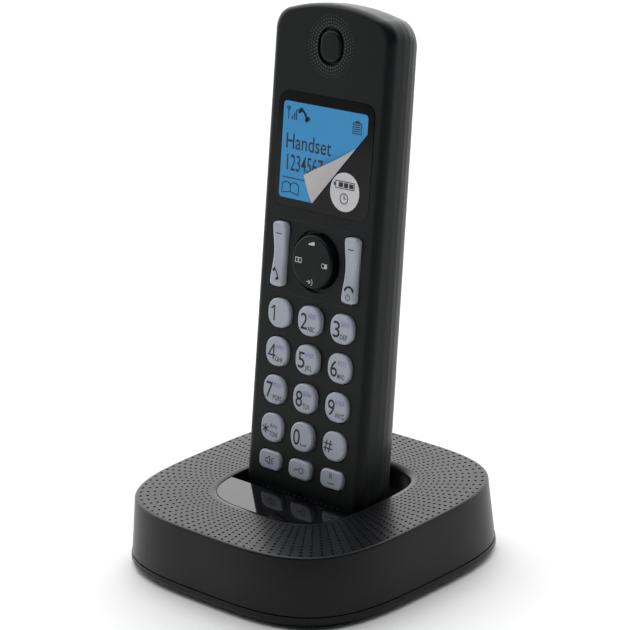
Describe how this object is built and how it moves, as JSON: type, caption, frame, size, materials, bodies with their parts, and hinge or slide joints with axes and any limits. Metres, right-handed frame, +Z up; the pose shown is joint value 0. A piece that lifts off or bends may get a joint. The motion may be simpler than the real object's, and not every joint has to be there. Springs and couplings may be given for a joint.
{
  "type": "cordless phone with base",
  "caption": "Cordless telephone handset with keypad and display standing in a low square charging base with a dimpled top and a glossy cradle.",
  "frame": {"origin": "on the floor under the middle of the base", "axes": "+Z up, the phone's front faces -Y, +X to its right as seen from the front"},
  "size_m": [0.0972, 0.0986, 0.1692],
  "materials": {
    "base_casing": "fine matt texture",
    "handset_casing": "satin",
    "black_gloss": "mirror gloss",
    "foot_rubber": "matt",
    "steel": "zinc plated",
    "circuit_board": "solder mask",
    "tin_plate": "bright tin",
    "black_plastic": "moulded",
    "gilt": "gold flash",
    "button_grey": "satin",
    "nickel": "nickel plated",
    "screen_film": "printed film",
    "sticker": "printed paper",
    "lcd_glass": "dark glass",
    "white_plastic": "diffuser",
    "key_rubber": "silicone",
    "polyester": "clear sheet",
    "cell_wrap": "shrink wrap",
    "key_silver": "silver lacquer"
  },
  "bodies": {
    "base": {"base_top_cover": "base_casing", "base_bottom_cover": "base_casing", "cradle_insert": "black_gloss", "rubber_feet": "foot_rubber", "base_screws": "steel", "base_circuit_board": "circuit_board", "base_shield_can": "tin_plate", "base_antenna": "tin_plate", "line_jack": "black_plastic", "line_jack_contacts": "gilt", "power_inlet": "black_plastic", "power_inlet_pin": "steel", "locator_switch": "black_plastic"},
    "handset": {"handset_front_cover": "handset_casing", "handset_rear_cover": "handset_casing", "handset_circuit_board": "circuit_board", "handset_antenna": "tin_plate", "handset_charge_plates": "nickel", "handset_screws": "steel", "display_window": "black_gloss", "display_film": "screen_film", "battery_life_sticker": "sticker", "lcd_panel": "lcd_glass", "lcd_backlight": "white_plastic", "keypad_membrane": "key_rubber", "dome_sheet": "polyester", "earpiece_insert": "handset_casing", "earpiece_speaker": "tin_plate", "ringer_speaker": "tin_plate", "microphone": "tin_plate", "battery_cells": "cell_wrap", "battery_springs": "nickel", "battery_contact_plates": "nickel"},
    "key_1": {"key_1": "key_silver"},
    "key_2": {"key_2": "key_silver"},
    "key_3": {"key_3": "key_silver"},
    "key_4": {"key_4": "key_silver"},
    "key_5": {"key_5": "key_silver"},
    "key_6": {"key_6": "key_silver"},
    "key_7": {"key_7": "key_silver"},
    "key_8": {"key_8": "key_silver"},
    "key_9": {"key_9": "key_silver"},
    "key_star": {"key_star": "key_silver"},
    "key_0": {"key_0": "key_silver"},
    "key_hash": {"key_hash": "key_silver"},
    "key_speakerphone": {"key_speakerphone": "key_silver"},
    "key_lock": {"key_lock": "key_silver"},
    "key_recall": {"key_recall": "key_silver"},
    "talk_key": {"talk_key": "key_silver"},
    "off_key": {"off_key": "key_silver"},
    "navigation_pivot": {"navigation_pivot": "key_rubber"},
    "navigation_key": {"navigation_key": "handset_casing"},
    "battery_cover": {"battery_cover": "handset_casing"},
    "locator_button": {"locator_button": "button_grey"},
    "charge_contact_left": {"charge_contact_left": "nickel"},
    "charge_contact_right": {"charge_contact_right": "nickel"}
  },
  "joints": [
    {"name": "handset_lift", "type": "slide", "parent": "base", "child": "handset", "axis": [0, 0.144, 0.9896], "range_m": [0, 0.06]},
    {"name": "key_1_press", "type": "slide", "parent": "handset", "child": "key_1", "axis": [0, 0.9896, -0.144], "range_m": [0, 0.0005], "stiffness_N_per_m": 400},
    {"name": "key_2_press", "type": "slide", "parent": "handset", "child": "key_2", "axis": [0, 0.9896, -0.144], "range_m": [0, 0.0005], "stiffness_N_per_m": 400},
    {"name": "key_3_press", "type": "slide", "parent": "handset", "child": "key_3", "axis": [0, 0.9896, -0.144], "range_m": [0, 0.0005], "stiffness_N_per_m": 400},
    {"name": "key_4_press", "type": "slide", "parent": "handset", "child": "key_4", "axis": [0, 0.9896, -0.144], "range_m": [0, 0.0005], "stiffness_N_per_m": 400},
    {"name": "key_5_press", "type": "slide", "parent": "handset", "child": "key_5", "axis": [0, 0.9896, -0.144], "range_m": [0, 0.0005], "stiffness_N_per_m": 400},
    {"name": "key_6_press", "type": "slide", "parent": "handset", "child": "key_6", "axis": [0, 0.9896, -0.144], "range_m": [0, 0.0005], "stiffness_N_per_m": 400},
    {"name": "key_7_press", "type": "slide", "parent": "handset", "child": "key_7", "axis": [0, 0.9896, -0.144], "range_m": [0, 0.0005], "stiffness_N_per_m": 400},
    {"name": "key_8_press", "type": "slide", "parent": "handset", "child": "key_8", "axis": [0, 0.9896, -0.144], "range_m": [0, 0.0005], "stiffness_N_per_m": 400},
    {"name": "key_9_press", "type": "slide", "parent": "handset", "child": "key_9", "axis": [0, 0.9896, -0.144], "range_m": [0, 0.0005], "stiffness_N_per_m": 400},
    {"name": "key_star_press", "type": "slide", "parent": "handset", "child": "key_star", "axis": [0, 0.9896, -0.144], "range_m": [0, 0.0005], "stiffness_N_per_m": 400},
    {"name": "key_0_press", "type": "slide", "parent": "handset", "child": "key_0", "axis": [0, 0.9896, -0.144], "range_m": [0, 0.0005], "stiffness_N_per_m": 400},
    {"name": "key_hash_press", "type": "slide", "parent": "handset", "child": "key_hash", "axis": [0, 0.9896, -0.144], "range_m": [0, 0.0005], "stiffness_N_per_m": 400},
    {"name": "key_speakerphone_press", "type": "slide", "parent": "handset", "child": "key_speakerphone", "axis": [0, 0.9896, -0.144], "range_m": [0, 0.0005], "stiffness_N_per_m": 400},
    {"name": "key_lock_press", "type": "slide", "parent": "handset", "child": "key_lock", "axis": [0, 0.9896, -0.144], "range_m": [0, 0.0005], "stiffness_N_per_m": 400},
    {"name": "key_recall_press", "type": "slide", "parent": "handset", "child": "key_recall", "axis": [0, 0.9896, -0.144], "range_m": [0, 0.0005], "stiffness_N_per_m": 400},
    {"name": "talk_key_rock", "type": "hinge", "parent": "handset", "child": "talk_key", "pos_m": [-0.0148, 0.00825, 0.09259], "axis": [1, 0, 0], "range_deg": [-3, 3], "stiffness_Nm_per_rad": 0.02},
    {"name": "off_key_rock", "type": "hinge", "parent": "handset", "child": "off_key", "pos_m": [0.0148, 0.00825, 0.09259], "axis": [1, 0, 0], "range_deg": [-3, 3], "stiffness_Nm_per_rad": 0.02},
    {"name": "navigation_tilt_up_down", "type": "hinge", "parent": "handset", "child": "navigation_pivot", "pos_m": [0, 0.00847, 0.09266], "axis": [1, 0, 0], "range_deg": [-3, 3], "stiffness_Nm_per_rad": 0.02},
    {"name": "navigation_tilt_left_right", "type": "hinge", "parent": "navigation_pivot", "child": "navigation_key", "pos_m": [0, 0.00827, 0.09269], "axis": [0, 0.144, 0.9896], "range_deg": [-3, 3], "stiffness_Nm_per_rad": 0.02},
    {"name": "battery_cover_removal", "type": "slide", "parent": "handset", "child": "battery_cover", "axis": [0, 0.9896, -0.144], "range_m": [0, 0.02]},
    {"name": "locator_press", "type": "slide", "parent": "base", "child": "locator_button", "axis": [0, -1, 0], "range_m": [0, 0.0008], "stiffness_N_per_m": 400},
    {"name": "charge_contact_left_travel", "type": "slide", "parent": "base", "child": "charge_contact_left", "axis": [0, -0.144, -0.9896], "range_m": [0, 0.0012], "stiffness_N_per_m": 200, "springref_m": -0.0005},
    {"name": "charge_contact_right_travel", "type": "slide", "parent": "base", "child": "charge_contact_right", "axis": [0, -0.144, -0.9896], "range_m": [0, 0.0012], "stiffness_N_per_m": 200, "springref_m": -0.0005}
  ]
}
